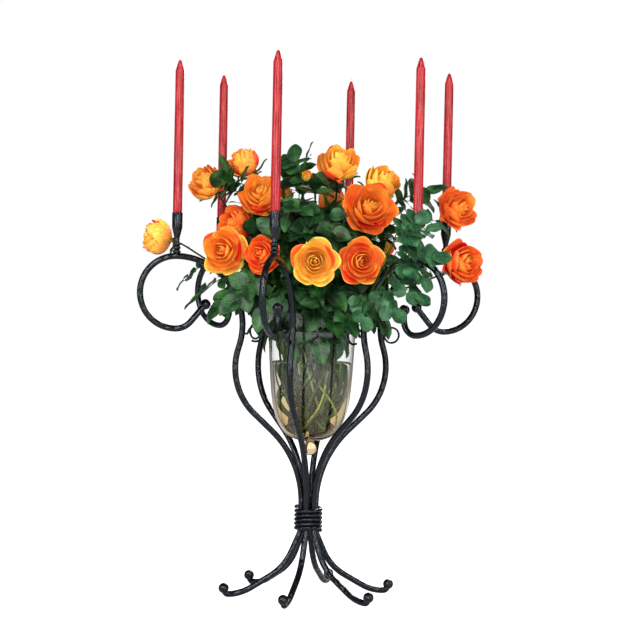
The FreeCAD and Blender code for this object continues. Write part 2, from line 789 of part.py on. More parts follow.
def make_leaf_clusters():
    clusters = []
    for index in range(1, len(LEAF_CLUSTERS) + 1):
        name = "leaves_%d" % index
        cluster = doc.addObject("Part::Ellipsoid", name)
        cluster.Angle1 = -90.0
        cluster.Angle2 = 90.0
        cluster.Angle3 = 360.0
        bind(cluster, "Radius1", S[name + "_half_height"])
        bind(cluster, "Radius2", S[name + "_half_depth"])
        bind(cluster, "Radius3", S[name + "_half_breadth"])
        place_on_arm(cluster, S[name + "_turn"], S[name + "_reach"], S[name + "_height"])
        clusters.append(cluster)
    group = doc.addObject("Part::Compound", "leaf_clusters")
    group.Links = clusters
    return group


def make_foliage(blooms):
    """The dome of leaves, hollowed where the blooms sit in it."""
    blank = turned_body("foliage_dome", [
        (0.0, S["foliage_bottom"]),
        (S["foliage_waist_radius"] - 10.0, S["foliage_bottom"]),
        (S["foliage_waist_radius"], S["foliage_waist_height"]),
        (S["foliage_wide_radius"], S["foliage_wide_height"]),
        (S["foliage_shoulder_radius"], S["foliage_shoulder_height"]),
        (S["foliage_shoulder_radius"] * 0.4, S["foliage_top"]),
        (0.0, S["foliage_top"]),
    ])
    seats = doc.addObject("Part::Compound", "bloom_seats")
    seats.Links = blooms
    return fit_to("foliage", blank, seats)


def stalk_turn(across, rise):
    """How far a stalk bends, from upright, to end at (across, rise) from the foot of its bend."""
    bend = S["stalk_bend"].value
    low, high = math.radians(1.0), math.radians(89.0)
    for _ in range(40):
        turn = (low + high) / 2
        run = (across - bend * (1 - math.cos(turn))) / math.sin(turn)
        if run * math.cos(turn) + bend * math.sin(turn) > rise:
            low = turn
        else:
            high = turn
    return turn, run


def make_stalk(name):
    """A thin stalk: upright in the vase, then bent over to the middle of its bloom."""
    body = doc.addObject("PartDesign::Body", name + "_stalk")
    ring = S["stalk_ring"] + S[name + "_reach"] * S["stalk_spread"].value
    section = circle_sketch(body, "section", ring, S["stalk_radius"], S["stalk_foot"])
    sketch = new_sketch(body, "stalk_route", "XZ_Plane")
    route = Route(sketch, ring.value, S["stalk_foot"].value, 90.0)
    across = S[name + "_reach"].value - ring.value
    turn, run = stalk_turn(across, S[name + "_height"].value - S["stalk_bend_height"].value)
    upright = route.line(S["stalk_bend_height"].value - S["stalk_foot"].value)
    bend = route.arc(S["stalk_bend"].value, -math.degrees(turn))
    slant = route.line(run)
    pin_point(sketch, upright, 1, ring, S["stalk_foot"])
    constrain(sketch, "Vertical", upright)
    constrain(sketch, "DistanceY", -1, 1, upright, 2, dim=S["stalk_bend_height"])
    constrain(sketch, "Radius", bend, dim=S["stalk_bend"])
    pin_point(sketch, slant, 2, S[name + "_reach"], S[name + "_height"])
    sweep_bar(body, "stalk", section, sketch)
    bind(body, "Placement.Rotation.Yaw", S[name + "_turn"])
    return body


def make_stalks():
    """One stalk for every bloom, bud and leaf cluster."""
    names = [name for name, *_ in BLOOMS]
    for prefix, table in (("bud", BUDS), ("back_rose", BACK_BLOOMS), ("leaves", LEAF_CLUSTERS)):
        names += ["%s_%d" % (prefix, index) for index in range(1, len(table) + 1)]
    group = doc.addObject("Part::Compound", "flower_stalks")
    group.Links = [make_stalk(name) for name in names]
    return group


# ---------------------------------------------------------------- the whole stand

FINISH = {1: "open", 2: "open", 3: "curled", 4: "open", 5: "curled", 6: "curled"}


def build():
    """Make every piece, and return them by node name."""
    nodes = {}
    curls = []
    for arm in range(1, ARMS + 1):
        stem, foot, scroll = make_stem(arm, FINISH[arm])
        turn = arm_turn(arm)
        nodes["stem_%d" % arm] = stem
        nodes["foot_ball_%d" % arm] = make_ball("foot_ball_%d" % arm, turn, foot)
        nodes["scroll_ball_%d" % arm] = make_ball("scroll_ball_%d" % arm, turn, scroll)
        nodes["candle_cup_%d" % arm] = make_cup(arm, stem)
        nodes["candle_%d" % arm] = make_candle(arm)
        nodes["wick_%d" % arm] = make_wick(arm)
        curls.append(make_curl(arm, stem))
    nodes["neck_curls"] = doc.addObject("Part::Compound", "neck_curls")
    nodes["neck_curls"].Links = curls
    nodes["waist_wrap"] = make_waist_wrap()
    nodes["vase_ring"] = make_vase_ring()
    nodes["vase"] = make_vase()
    nodes["water"] = make_water()
    for name, *_ in BLOOMS:
        nodes[name] = bloom_solid(name)
    nodes["rose_buds"] = bloom_group("rose_buds", "bud", len(BUDS))
    nodes["back_roses"] = bloom_group("back_roses", "back_rose", len(BACK_BLOOMS))
    blooms = [nodes[name] for name, *_ in BLOOMS] + [nodes["rose_buds"], nodes["back_roses"]]
    nodes["foliage"] = make_foliage(blooms)
    nodes["leaf_clusters"] = make_leaf_clusters()
    nodes["flower_stalks"] = make_stalks()
    return nodes


def check(nodes):
    """Stop on any object that failed to build."""
    for thing in doc.Objects:
        if "Invalid" in thing.State or "Error" in thing.State:
            raise RuntimeError("%s failed: %s" % (thing.Label, thing.State))
    for name, thing in nodes.items():
        if thing.Shape.isNull() or not thing.Shape.isValid() or not thing.Shape.Solids:
            raise RuntimeError("%s has no valid solid" % name)


def main():
    nodes = build()
    doc.recompute()
    check(nodes)
    os.makedirs("parts", exist_ok=True)
    for name, thing in nodes.items():
        thing.Label = name
        thing.Shape.exportStep("parts/%s.step" % name)
        print("%-16s %2d solids %12.0f mm3" % (name, len(thing.Shape.Solids), thing.Shape.Volume))


main()
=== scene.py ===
"""Looks for the six-arm floral candelabra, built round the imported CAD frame, in metres.

The ironwork keeps its CAD solids and gets a forged-iron finish. Candles, wicks, vase, water,
roses, leaves and stalks are modelled here and stand for their plain CAD solids.
"""

import json
import math
import random
from collections import namedtuple

import bpy
import numpy as np
from mathutils import Matrix, Vector
from mathutils.bvhtree import BVHTree


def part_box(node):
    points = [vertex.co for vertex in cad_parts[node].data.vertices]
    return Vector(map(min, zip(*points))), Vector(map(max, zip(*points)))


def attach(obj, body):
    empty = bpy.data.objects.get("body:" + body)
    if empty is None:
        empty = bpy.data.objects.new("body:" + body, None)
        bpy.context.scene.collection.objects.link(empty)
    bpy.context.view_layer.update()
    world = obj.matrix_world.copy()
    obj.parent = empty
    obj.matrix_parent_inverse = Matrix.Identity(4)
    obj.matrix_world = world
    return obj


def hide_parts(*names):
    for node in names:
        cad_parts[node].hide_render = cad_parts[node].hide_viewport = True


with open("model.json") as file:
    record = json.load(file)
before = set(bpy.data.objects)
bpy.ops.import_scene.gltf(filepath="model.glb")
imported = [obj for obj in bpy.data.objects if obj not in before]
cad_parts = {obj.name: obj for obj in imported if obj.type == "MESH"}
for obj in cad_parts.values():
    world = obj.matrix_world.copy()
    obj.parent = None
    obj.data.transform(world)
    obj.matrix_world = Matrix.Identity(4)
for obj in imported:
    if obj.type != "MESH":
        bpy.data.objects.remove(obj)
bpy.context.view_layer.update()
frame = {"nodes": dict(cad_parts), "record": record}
NODES = frame["nodes"]
STAND = frame["record"]["behaviour"]["bodies"]["stand"]
ARMS = range(1, 7)
MM = 0.001
UP = Vector((0.0, 0.0, 1.0))
rng = random.Random(7)


# ---------------------------------------------------------------- materials

# The share of a lamp's light that each surface of clear glass or water lets straight through.
LAMP_SHARE = 0.9

# Half the width of a leaf's midrib, as a share of the leaf's width, and the slant and sharpness of
# its side veins.
RIB_HALF_WIDTH = 0.022
VEIN_SLANT = 5.0
VEIN_SHARPNESS = 14.0

# Where the amber low on the vase's glass starts, and how far up it fades, in metres. The amber is
# a painted reflection; the glass itself is clear.
PAINTED_REFLECTION_FOOT = 0.34
PAINTED_REFLECTION_RISE = 0.30

# The floor's own glow where it is looked at, which brings it up to the backdrop's white.
FLOOR_GLOW = 0.93

# The backdrop's strength as a light: in reflections, and what is added for diffuse light.
GLOSSY_FILL = 0.13
DIFFUSE_FILL = 0.18


class Graph:
    """A node tree, with short names for the nodes that the finishes and the backdrop share."""

    def __init__(self, tree):
        self.tree = tree

    def node(self, kind, inputs=None, **settings):
        node = self.tree.nodes.new(kind)
        for name, value in settings.items():
            setattr(node, name, value)
        for name, value in (inputs or {}).items():
            if isinstance(value, bpy.types.NodeSocket):
                self.tree.links.new(value, node.inputs[name])
            else:
                node.inputs[name].default_value = value
        return node

    def place(self, kind="Object", stretch=(1.0, 1.0, 1.0)):
        source = self.node("ShaderNodeTexCoord").outputs[kind]
        mapping = self.node("ShaderNodeMapping", {"Vector": source, "Scale": stretch})
        return mapping.outputs["Vector"]

    def noise(self, where, scale, detail=3.0):
        inputs = {"Vector": where, "Scale": scale, "Detail": detail}
        return self.node("ShaderNodeTexNoise", inputs).outputs["Fac"]

    def dimples(self, where, scale):
        inputs = {"Vector": where, "Scale": scale, "Smoothness": 0.7}
        return self.node("ShaderNodeTexVoronoi", inputs, feature="SMOOTH_F1").outputs["Distance"]

    def maths(self, operation, first, second=0.0):
        return self.node("ShaderNodeMath", {0: first, 1: second}, operation=operation).outputs[0]

    def span(self, value, low, high):
        """Spread a 0.3 to 0.7 noise over low to high."""
        inputs = {"Value": value, "From Min": 0.3, "From Max": 0.7, "To Min": low, "To Max": high}
        return self.node("ShaderNodeMapRange", inputs).outputs["Result"]

    def ramp(self, factor, stops):
        node = self.node("ShaderNodeValToRGB", {"Fac": factor})
        elements = node.color_ramp.elements
        for _ in stops[2:]:
            elements.new(0.5)
        for element, (position, colour) in zip(elements, stops):
            element.position = position
            element.color = (*colour, 1.0)
        return node.outputs["Color"]

    def bump(self, height, distance, under=None):
        inputs = {"Height": height, "Distance": distance, "Strength": 1.0}
        if under is not None:
            inputs["Normal"] = under
        return self.node("ShaderNodeBump", inputs).outputs["Normal"]

    def seen_directly(self):
        """1 for what is looked at, straight or through glass, and 0 for the light that it gives."""
        path = self.node("ShaderNodeLightPath").outputs
        looked_at = self.maths("MAXIMUM", path["Is Camera Ray"], path["Is Transmission Ray"])
        bounces = self.maths("ADD", path["Diffuse Depth"], path["Glossy Depth"])
        return self.maths("MULTIPLY", looked_at, self.maths("LESS_THAN", bounces, 0.5))


class Finish(Graph):
    """A new material. Settings that are the same all over are given by their socket's name."""

    def __init__(self, name, **sockets):
        self.material = bpy.data.materials.new(name)
        self.material.use_nodes = True
        super().__init__(self.material.node_tree)
        self.shader = self.tree.nodes["Principled BSDF"]
        for socket, value in sockets.items():
            self.shader.inputs[socket.replace("_", " ")].default_value = value

    def feed(self, socket, output):
        self.tree.links.new(output, self.shader.inputs[socket])

    def let_light_in(self):
        """Let the lamps shine through, so that what stands inside clear glass is lit."""
        shadow = self.node("ShaderNodeLightPath").outputs["Is Shadow Ray"]
        self.feed("Alpha", self.maths("SUBTRACT", 1.0, self.maths("MULTIPLY", shadow, LAMP_SHARE)))


def iron_material():
    graph = Finish("forged_iron", Specular_IOR_Level=0.34, Specular_Tint=(0.80, 0.92, 1.0, 1.0))
    where = graph.place()
    patches = graph.noise(where, 38.0)
    graph.feed("Base Color", graph.ramp(patches, [
        (0.30, (0.0008, 0.0010, 0.0016)),
        (0.55, (0.0018, 0.0024, 0.0040)),
        (0.80, (0.0060, 0.0085, 0.0130)),
    ]))
    graph.feed("Roughness", graph.span(graph.noise(where, 150.0), 0.12, 0.26))
    hammered = graph.bump(graph.dimples(where, 70.0), 2.4 * MM)
    graph.feed("Normal", graph.bump(graph.noise(where, 420.0, 5.0), 0.5 * MM, hammered))
    return graph.material


def wax_material():
    graph = Finish(
        "coral_wax", Specular_IOR_Level=0.22, Subsurface_Weight=0.25, Subsurface_Scale=3.0 * MM)
    streaks = graph.noise(graph.place(stretch=(1.0, 1.0, 0.06)), 260.0)
    graph.feed("Base Color", graph.ramp(streaks, [
        (0.30, (0.16, 0.004, 0.007)),
        (0.55, (0.31, 0.013, 0.017)),
        (0.78, (0.50, 0.050, 0.048)),
    ]))
    graph.feed("Roughness", graph.span(graph.noise(graph.place(), 90.0), 0.20, 0.34))
    graph.feed("Normal", graph.bump(streaks, 0.5 * MM))
    return graph.material


def wick_material():
    graph = Finish("cotton_wick", Sheen_Weight=0.4)
    where = graph.place(stretch=(1.0, 1.0, 0.5))
    fibres = graph.noise(where, 900.0)
    graph.feed("Base Color", graph.ramp(fibres, [(0.3, (0.48, 0.40, 0.32)), (0.7, (0.88, 0.84, 0.76))]))
    graph.feed("Roughness", graph.span(fibres, 0.7, 0.95))
    graph.feed("Normal", graph.bump(fibres, 0.3 * MM))
    return graph.material


def glass_material():
    graph = Finish("clear_glass", Transmission_Weight=1.0, IOR=1.46, Specular_IOR_Level=0.25)
    split = graph.node("ShaderNodeSeparateXYZ", {"Vector": graph.place()})
    height = graph.maths("SUBTRACT", split.outputs["Z"], PAINTED_REFLECTION_FOOT)
    rise = graph.maths("DIVIDE", height, PAINTED_REFLECTION_RISE)
    cloud = graph.maths("MULTIPLY", graph.noise(graph.place(stretch=(1.0, 1.0, 0.5)), 22.0, 1.0), 0.5)
    # Amber low down, broken up by noise and fading to clear higher up: a painted reflection.
    graph.feed("Base Color", graph.ramp(graph.maths("ADD", rise, cloud), [
        (0.28, (0.76, 0.54, 0.30)),
        (0.66, (0.90, 0.78, 0.56)),
        (1.05, (0.98, 0.99, 0.98)),
    ]))
    graph.feed("Roughness", graph.span(graph.noise(graph.place(), 20.0), 0.0, 0.03))
    graph.let_light_in()
    return graph.material


def water_material():
    graph = Finish("water", Transmission_Weight=1.0, IOR=1.333, Roughness=0.0, Specular_IOR_Level=0.25)
    murk = graph.noise(graph.place(), 9.0, 2.0)
    graph.feed("Base Color", graph.ramp(murk, [(0.35, (0.90, 0.88, 0.76)), (0.70, (0.97, 0.98, 0.95))]))
    graph.let_light_in()
    return graph.material


def stalk_material():
    """Brown-black through green to yellow-green, by the tint that each stalk carries."""
    graph = Finish("green_stalk", Specular_IOR_Level=0.06)
    grain = graph.noise(graph.place(stretch=(1.0, 1.0, 0.12)), 240.0)
    tint = graph.node("ShaderNodeAttribute", attribute_name="tint").outputs["Fac"]
    graph.feed("Base Color", graph.ramp(graph.maths("ADD", tint, graph.span(grain, -0.12, 0.12)), [
        (0.00, (0.003, 0.004, 0.002)),
        (0.45, (0.014, 0.034, 0.006)),
        (0.75, (0.060, 0.130, 0.018)),
        (1.00, (0.260, 0.360, 0.070)),
    ]))
    graph.feed("Roughness", graph.span(grain, 0.42, 0.62))
    graph.feed("Normal", graph.bump(grain, 0.5 * MM))
    return graph.material


def vein_lines(graph, pairs):
    """Raised lines along a leaf's midrib and side veins, from its UV map."""
    split = graph.node("ShaderNodeSeparateXYZ", {"Vector": graph.place("UV")})
    aside = graph.maths("ABSOLUTE", graph.maths("SUBTRACT", split.outputs["X"], 0.5))
    order = graph.maths("MULTIPLY", split.outputs["Y"], pairs)
    slant = graph.maths("SUBTRACT", order, graph.maths("MULTIPLY", aside, VEIN_SLANT))
    ripple = graph.maths("ABSOLUTE", graph.maths("SINE", graph.maths("MULTIPLY", slant, math.pi)))
    side = graph.maths("POWER", ripple, VEIN_SHARPNESS)
    rib = graph.maths("LESS_THAN", aside, RIB_HALF_WIDTH)
    return graph.maths("MAXIMUM", graph.maths("MULTIPLY", side, 0.6), rib)


def leaf_material(name, dark, middle, light, pairs, roughness):
    """A veined leaf: its three greens, its pairs of side veins, and how rough it is."""
    graph = Finish(name, Specular_IOR_Level=0.28)
    patches = graph.noise(graph.place(), 30.0)
    veins = vein_lines(graph, pairs)
    mottle = graph.maths("MULTIPLY", patches, 0.8)
    shade = graph.maths("ADD", mottle, graph.maths("MULTIPLY", veins, 0.12))
    graph.feed("Base Color", graph.ramp(shade, [(0.28, dark), (0.42, middle), (0.62, light)]))
    grain = graph.noise(graph.place(), 120.0)
    graph.feed("Roughness", graph.span(grain, roughness - 0.07, roughness + 0.1))
    graph.feed("Normal", graph.bump(veins, 0.5 * MM))
    return graph.material


# A petal's colour at each tint, from a yellow heart to deep red.
PETAL_TINTS = [
    (0.00, (1.00, 0.700, 0.130)),
    (0.20, (1.00, 0.540, 0.075)),
    (0.40, (1.00, 0.345, 0.050)),
    (0.60, (1.00, 0.155, 0.036)),
    (0.80, (0.86, 0.046, 0.024)),
    (1.00, (0.48, 0.010, 0.010)),
]


def petal_material():
    """Yellow through orange to deep red, by the tint that each point of a petal carries, painted shade
    included.
    """
    graph = Finish(
        "rose_petal", Specular_IOR_Level=0.22, Subsurface_Weight=0.60, Subsurface_Scale=9.0 * MM)
    tint = graph.node("ShaderNodeAttribute", attribute_name="tint").outputs["Fac"]
    fibres = graph.noise(graph.place("UV", stretch=(34.0, 2.5, 1.0)), 1.0, 4.0)
    blotches = graph.noise(graph.place(), 55.0)
    shift = graph.maths("ADD", graph.span(fibres, -0.045, 0.045), graph.span(blotches, -0.07, 0.07))
    graph.feed("Base Color", graph.ramp(graph.maths("ADD", tint, shift), PETAL_TINTS))
    graph.feed("Roughness", graph.span(fibres, 0.42, 0.58))
    graph.feed("Normal", graph.bump(fibres, 0.12 * MM))
    return graph.material


def floor_material():
    """A pale floor that looks as white as the backdrop, but throws little light upwards."""
    white = (1.0, 1.0, 1.0, 1.0)
    graph = Finish("pale_floor", Roughness=0.9, Specular_IOR_Level=0.1, Emission_Color=white)
    grain = graph.noise(graph.place(), 3.0)
    graph.feed("Base Color", graph.ramp(grain, [(0.3, (0.58, 0.58, 0.58)), (0.7, (0.62, 0.62, 0.62))]))
    graph.feed("Emission Strength", graph.maths("MULTIPLY", graph.seen_directly(), FLOOR_GLOW))
    return graph.material


# ---------------------------------------------------------------- mesh building

class Patches:
    """Grids of points that become one mesh, with UVs and a tint on each point."""

    def __init__(self):
        self.points, self.uvs, self.tints, self.faces = [], [], [], []
        self.count = 0

    def add(self, grid, tint=0.0, closed=False):
        """Add a grid of points (rows, columns, 3); closed joins its last column to its first."""
        rows, columns = grid.shape[:2]
        self.points.append(grid.reshape(-1, 3))
        across, along = np.meshgrid(np.linspace(0, 1, columns), np.linspace(0, 1, rows))
        self.uvs.append(np.stack([across, along], axis=-1).reshape(-1, 2))
        self.tints.append(np.broadcast_to(tint, (rows, columns)).reshape(-1))
        numbers = np.arange(rows * columns).reshape(rows, columns) + self.count
        right = np.roll(numbers, -1, axis=1) if closed else numbers[:, 1:]
        left = numbers if closed else numbers[:, :-1]
        quads = np.stack([left[:-1], right[:-1], right[1:], left[1:]], axis=-1)
        self.faces.append(quads.reshape(-1, 4))
        self.count += rows * columns

    def build(self, name, material, subdivisions=0):
        mesh = bpy.data.meshes.new(name)
        points, uvs = np.concatenate(self.points), np.concatenate(self.uvs)
        mesh.from_pydata(points.tolist(), [], np.concatenate(self.faces).tolist())
        loops = np.empty(len(mesh.loops), dtype=np.int32)
        mesh.loops.foreach_get("vertex_index", loops)
        mesh.uv_layers.new(name="UVMap").data.foreach_set("uv", uvs[loops].ravel())
        tint = mesh.attributes.new("tint", "FLOAT", "POINT")
        tint.data.foreach_set("value", np.concatenate(self.tints).astype(np.float32))
        mesh.polygons.foreach_set("use_smooth", [True] * len(mesh.polygons))
        mesh.materials.append(material)
        thing = bpy.data.objects.new(name, mesh)
        bpy.context.scene.collection.objects.link(thing)
        if subdivisions:
            smooth = thing.modifiers.new("smooth", "SUBSURF")
            smooth.levels = smooth.render_levels = subdivisions
        return thing


def stand_for(thing, node, body):
    """Make a piece ride on its body in place of a CAD node, which it hides."""
    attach(thing, body)
    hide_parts(node)
    return thing


def turned(outline, segments, centre=(0.0, 0.0)):
    """A grid turned about a vertical axis from (radius, height) pairs in millimetres."""
    turn = np.linspace(0, 2 * math.pi, segments, endpoint=False)
    radius = np.array([[point[0]] for point in outline]) * MM
    height = np.array([[point[1]] for point in outline]) * MM
    x = radius * np.cos(turn) + centre[0]
    y = radius * np.sin(turn) + centre[1]
    return np.stack([x, y, np.broadcast_to(height, x.shape)], axis=-1)


def smooth_path(points, steps):
    """Points on a Catmull-Rom curve through the given points."""
    points = [Vector(p) for p in points]
    ends = [points[0] * 2 - points[1], *points, points[-1] * 2 - points[-2]]
    path = []
    for before, start, end, after in zip(ends, ends[1:], ends[2:], ends[3:]):
        for step in range(steps):
            t = step / steps
            path.append(0.5 * (
                start * 2
                + (end - before) * t
                + (before * 2 - start * 5 + end * 4 - after) * t ** 2
                + (start * 3 - before - end * 3 + after) * t ** 3
            ))
    return path + [points[-1]]


def tube(path, radii, sides=8):
    """A closed-sided tube along a path, with one radius for each point."""
    rows = []
    side = UP.orthogonal()
    for index, point in enumerate(path):
        ahead = path[min(index + 1, len(path) - 1)] - path[max(index - 1, 0)]
        ahead.normalize()
        side = (side - ahead * side.dot(ahead)).normalized()
        other = ahead.cross(side)
        ring = [point + (side * math.cos(a) + other * math.sin(a)) * radii[index]
                for a in np.linspace(0, 2 * math.pi, sides, endpoint=False)]
        rows.append([tuple(corner) for corner in ring])
    return np.array(rows)


def centre_of(node):
    low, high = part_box(node)
    return (Vector(low) + Vector(high)) / 2


# ---------------------------------------------------------------- candles

# A taper's outline in millimetres: the plug in its cup as (radius, height over the plug's foot), the
# shoulder as (radius, height over the cup's rim), and the coned tip as (radius, depth under its top).
PLUG = [(0.0, 0.0), (8.6, 0.0), (9.8, 2.0)]
SHOULDER = [(9.8, 0.2), (10.8, 2.5), (11.0, 6.0)]
TIP = [
    (10.5, 24.0), (9.2, 21.0), (8.2, 17.0), (6.6, 11.0),
    (4.6, 4.5), (3.2, 1.0), (2.0, 0.0), (0.0, 0.0),
]

# Between them the taper thins a little and ripples, as dipping leaves it, and the cone starts this
# far under its top.
TAPER_THINNING = 0.35
TAPER_RIPPLE = 0.08
CONE_DEPTH = 26.0

# A wick in millimetres: its radius, the swell of its braid, its end's radius, how deep it starts in
# the wax, and how far its middle leans. Its end leans twice as far.
WICK_RADIUS = 1.0
WICK_BRAID = 0.18
WICK_END = 0.4
WICK_ROOT = 6.0
WICK_LEAN = 0.7


def taper_outline(arm, foot, rim, top):
    """(radius, height) pairs up a taper, which stands at foot, in a cup with its rim at rim."""
    outline = [(radius, foot + rise) for radius, rise in PLUG]
    outline += [(radius, rim + rise) for radius, rise in SHOULDER]
    widest, start = outline[-1]
    length = top - CONE_DEPTH - start
    for share in np.linspace(0.1, 1.0, 10):
        ripple = TAPER_RIPPLE * math.sin(arm + share * 9)
        outline.append((widest - TAPER_THINNING * share + ripple, start + length * share))
    return outline + [(radius, top - depth) for radius, depth in TIP]


def build_taper(arm, wax):
    """A dipped taper with a coned, slightly stepped tip."""
    node = "candle_%d" % arm
    low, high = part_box(node)
    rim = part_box("candle_cup_%d" % arm)[1][2]
    outline = taper_outline(arm, low[2] / MM, rim / MM, high[2] / MM)
    patches = Patches()
    patches.add(turned(outline, 40, centre_of(node)), closed=True)
    taper = patches.build("taper_%d" % arm, wax)
    stand_for(taper, node, "candle_body_%d" % arm)


def build_wick(arm, cotton):
    """A braided wick that leans a little, out of the top of its taper."""
    axis = centre_of("candle_%d" % arm)
    wax_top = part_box("candle_%d" % arm)[1][2]
    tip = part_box("wick_%d" % arm)[1][2]
    turn = arm * 2.1
    lean = Vector((WICK_LEAN * math.cos(turn), WICK_LEAN * math.sin(turn), 0.0)) * MM
    start = Vector((axis.x, axis.y, wax_top - WICK_ROOT * MM))
    end = Vector((axis.x, axis.y, tip)) + lean * 2
    path = smooth_path([start, start.lerp(end, 0.5) + lean, end], 8)
    radii = [(WICK_RADIUS + WICK_BRAID * math.sin(index * 1.9)) * MM for index in range(len(path))]
    radii[-1] = WICK_END * MM
    patches = Patches()
    patches.add(tube(path, radii, 10), closed=True)
    wick = patches.build("wick_braid_%d" % arm, cotton)
    stand_for(wick, "wick_%d" % arm, "candle_body_%d" % arm)


# ---------------------------------------------------------------- vase and water

# The vase's wall as (radius, height) pairs in millimetres: up its outside, over its lip, and down
# its inside.
VASE_OUTSIDE = [
    (0.0, 339.2), (7.0, 340.6), (12.6, 344.6), (16.2, 350.6), (17.0, 356.0), (16.0, 361.8), (12.8, 367.2),
    (9.4, 371.0), (12.0, 373.4), (20.0, 374.8), (32.0, 377.0), (47.0, 382.4), (59.0, 390.6), (69.0, 401.0),
    (79.5, 419.0), (88.5, 443.0), (94.6, 473.0), (99.6, 530.0), (103.0, 590.0), (105.0, 634.0),
    (107.4, 655.0), (111.6, 672.0), (117.2, 685.2),
]
VASE_LIP = [(117.4, 686.8), (116.4, 687.0)]
VASE_INSIDE = [
    (115.2, 686.6), (109.0, 673.0), (104.0, 656.0), (101.2, 634.0), (99.2, 590.0), (95.8, 530.0),
    (90.8, 474.0), (84.6, 444.0), (75.6, 421.0), (65.0, 404.0), (55.0, 394.0), (43.0, 387.0),
    (28.0, 383.0), (0.0, 382.0),
]

# The water in millimetres: its level, its gap to the glass, and its edge, which creeps up the glass.
WATER_TOP = 566.0
WATER_GAP = 0.3
WATER_EDGE = [(97.7, WATER_TOP + 1.6), (95.0, WATER_TOP), (0.0, WATER_TOP)]


def build_vase(glass, water):
    """The glass vase, and the water in it."""
    patches = Patches()
    patches.add(turned(VASE_OUTSIDE + VASE_LIP + VASE_INSIDE, 72), closed=True)
    vase = patches.build("glass_vase", glass, 1)
    stand_for(vase, "vase", "vase_body")
    wetted = [
        (max(radius - WATER_GAP, 0.0), height + WATER_GAP)
        for radius, height in reversed(VASE_INSIDE) if height < WATER_TOP
    ]
    patches = Patches()
    patches.add(turned(wetted + WATER_EDGE, 72), closed=True)
    pool = patches.build("vase_water", water, 1)
    stand_for(pool, "water", "vase_body")


# ---------------------------------------------------------------- roses

# A ring of petals: how many, half the turn that each one covers in radians, and its side view as
# the four control points (out, up) of a curve, in units of the bloom's radius. The heart is first.
Ring = namedtuple("Ring", "count half_turn side")
RINGS = [
    Ring(2, 2.00, ((0.01, -0.10), (0.12, 0.10), (0.12, 0.46), (0.03, 0.62))),
    Ring(3, 1.60, ((0.02, -0.18), (0.22, 0.00), (0.22, 0.46), (0.14, 0.62))),
    Ring(3, 1.45, ((0.03, -0.26), (0.35, -0.10), (0.33, 0.46), (0.26, 0.60))),
    Ring(3, 1.40, ((0.04, -0.33), (0.51, -0.20), (0.45, 0.44), (0.42, 0.55))),
    Ring(4, 1.18, ((0.05, -0.40), (0.69, -0.30), (0.58, 0.40), (0.60, 0.45))),
    Ring(5, 0.98, ((0.05, -0.47), (0.87, -0.40), (0.74, 0.30), (0.80, 0.27))),
    Ring(5, 0.86, ((0.06, -0.52), (1.00, -0.46), (0.86, 0.14), (1.02, 0.00))),
]

# How each rose looks: its lean from upright and its swing round from facing outwards in degrees,
# its spin in radians, its petals' tint at the heart and at the outside, the change of tint at the
# rims, the tint of a few stray outer petals, how shut it is, and its petals' reach as a multiple of
# its CAD bloom's.
Look = namedtuple("Look", "lean swing spin heart outside rim stray shut size")
LOOKS = {
    "rose_1": Look(80, 0, 0.3, 0.30, 0.26, 0.10, 0.50, 0.45, 1.04),
    "rose_2": Look(58, 40, 1.1, 0.26, 0.30, 0.10, 0.66, 0.45, 1.12),
    "rose_3": Look(48, 30, 2.0, 0.32, 0.36, 0.10, 0.62, 0.50, 1.12),
    "rose_4": Look(62, 45, 0.7, 0.20, 0.28, 0.20, 0.62, 0.30, 1.12),
    "rose_5": Look(88, 45, 2.6, 0.48, 0.16, 0.00, 0.62, 0.0, 1.04),
    "rose_6": Look(70, 40, 1.9, 0.58, 0.46, -0.10, 0.70, 0.30, 1.38),
    "rose_7": Look(84, 10, 0.4, 0.56, 0.48, -0.10, 0.60, 0.20, 1.06),
    "rose_8": Look(88, 0, 1.3, 0.28, 0.00, 0.02, 0.56, 0.0, 1.02),
    "rose_9": Look(88, -20, 0.2, 0.56, 0.42, -0.28, 0.56, 0.0, 1.02),
    "rose_10": Look(72, -30, 2.2, 0.28, 0.36, 0.12, 0.68, 0.15, 1.20),
    "rose_11": Look(50, -40, 0.9, 0.28, 0.17, 0.04, 0.26, 0.35, 1.20),
    "rose_12": Look(40, -70, 1.6, 0.14, 0.22, 0.12, 0.72, 0.25, 1.14),
    "rose_13": Look(76, -55, 0.5, 0.34, 0.40, 0.10, 0.50, 0.12, 1.08),
    "rose_14": Look(82, -50, 2.9, 0.42, 0.50, 0.06, 0.80, 0.20, 1.08),
}


# Where a petal is widest, as a share of its length.
PETAL_WIDEST = 0.6

# How much larger a quite shut bloom is drawn, because its petals reach less far out.
SHUT_REACH = 0.25


def ring_curve(side, share):
    """A cubic curve's (out, up) at each share from 0 to 1."""
    weights = [(1 - share) ** 3, 3 * (1 - share) ** 2 * share, 3 * (1 - share) * share ** 2, share ** 3]
    out = sum(weight * corner[0] for weight, corner in zip(weights, side))
    up = sum(weight * corner[1] for weight, corner in zip(weights, side))
    return out, up


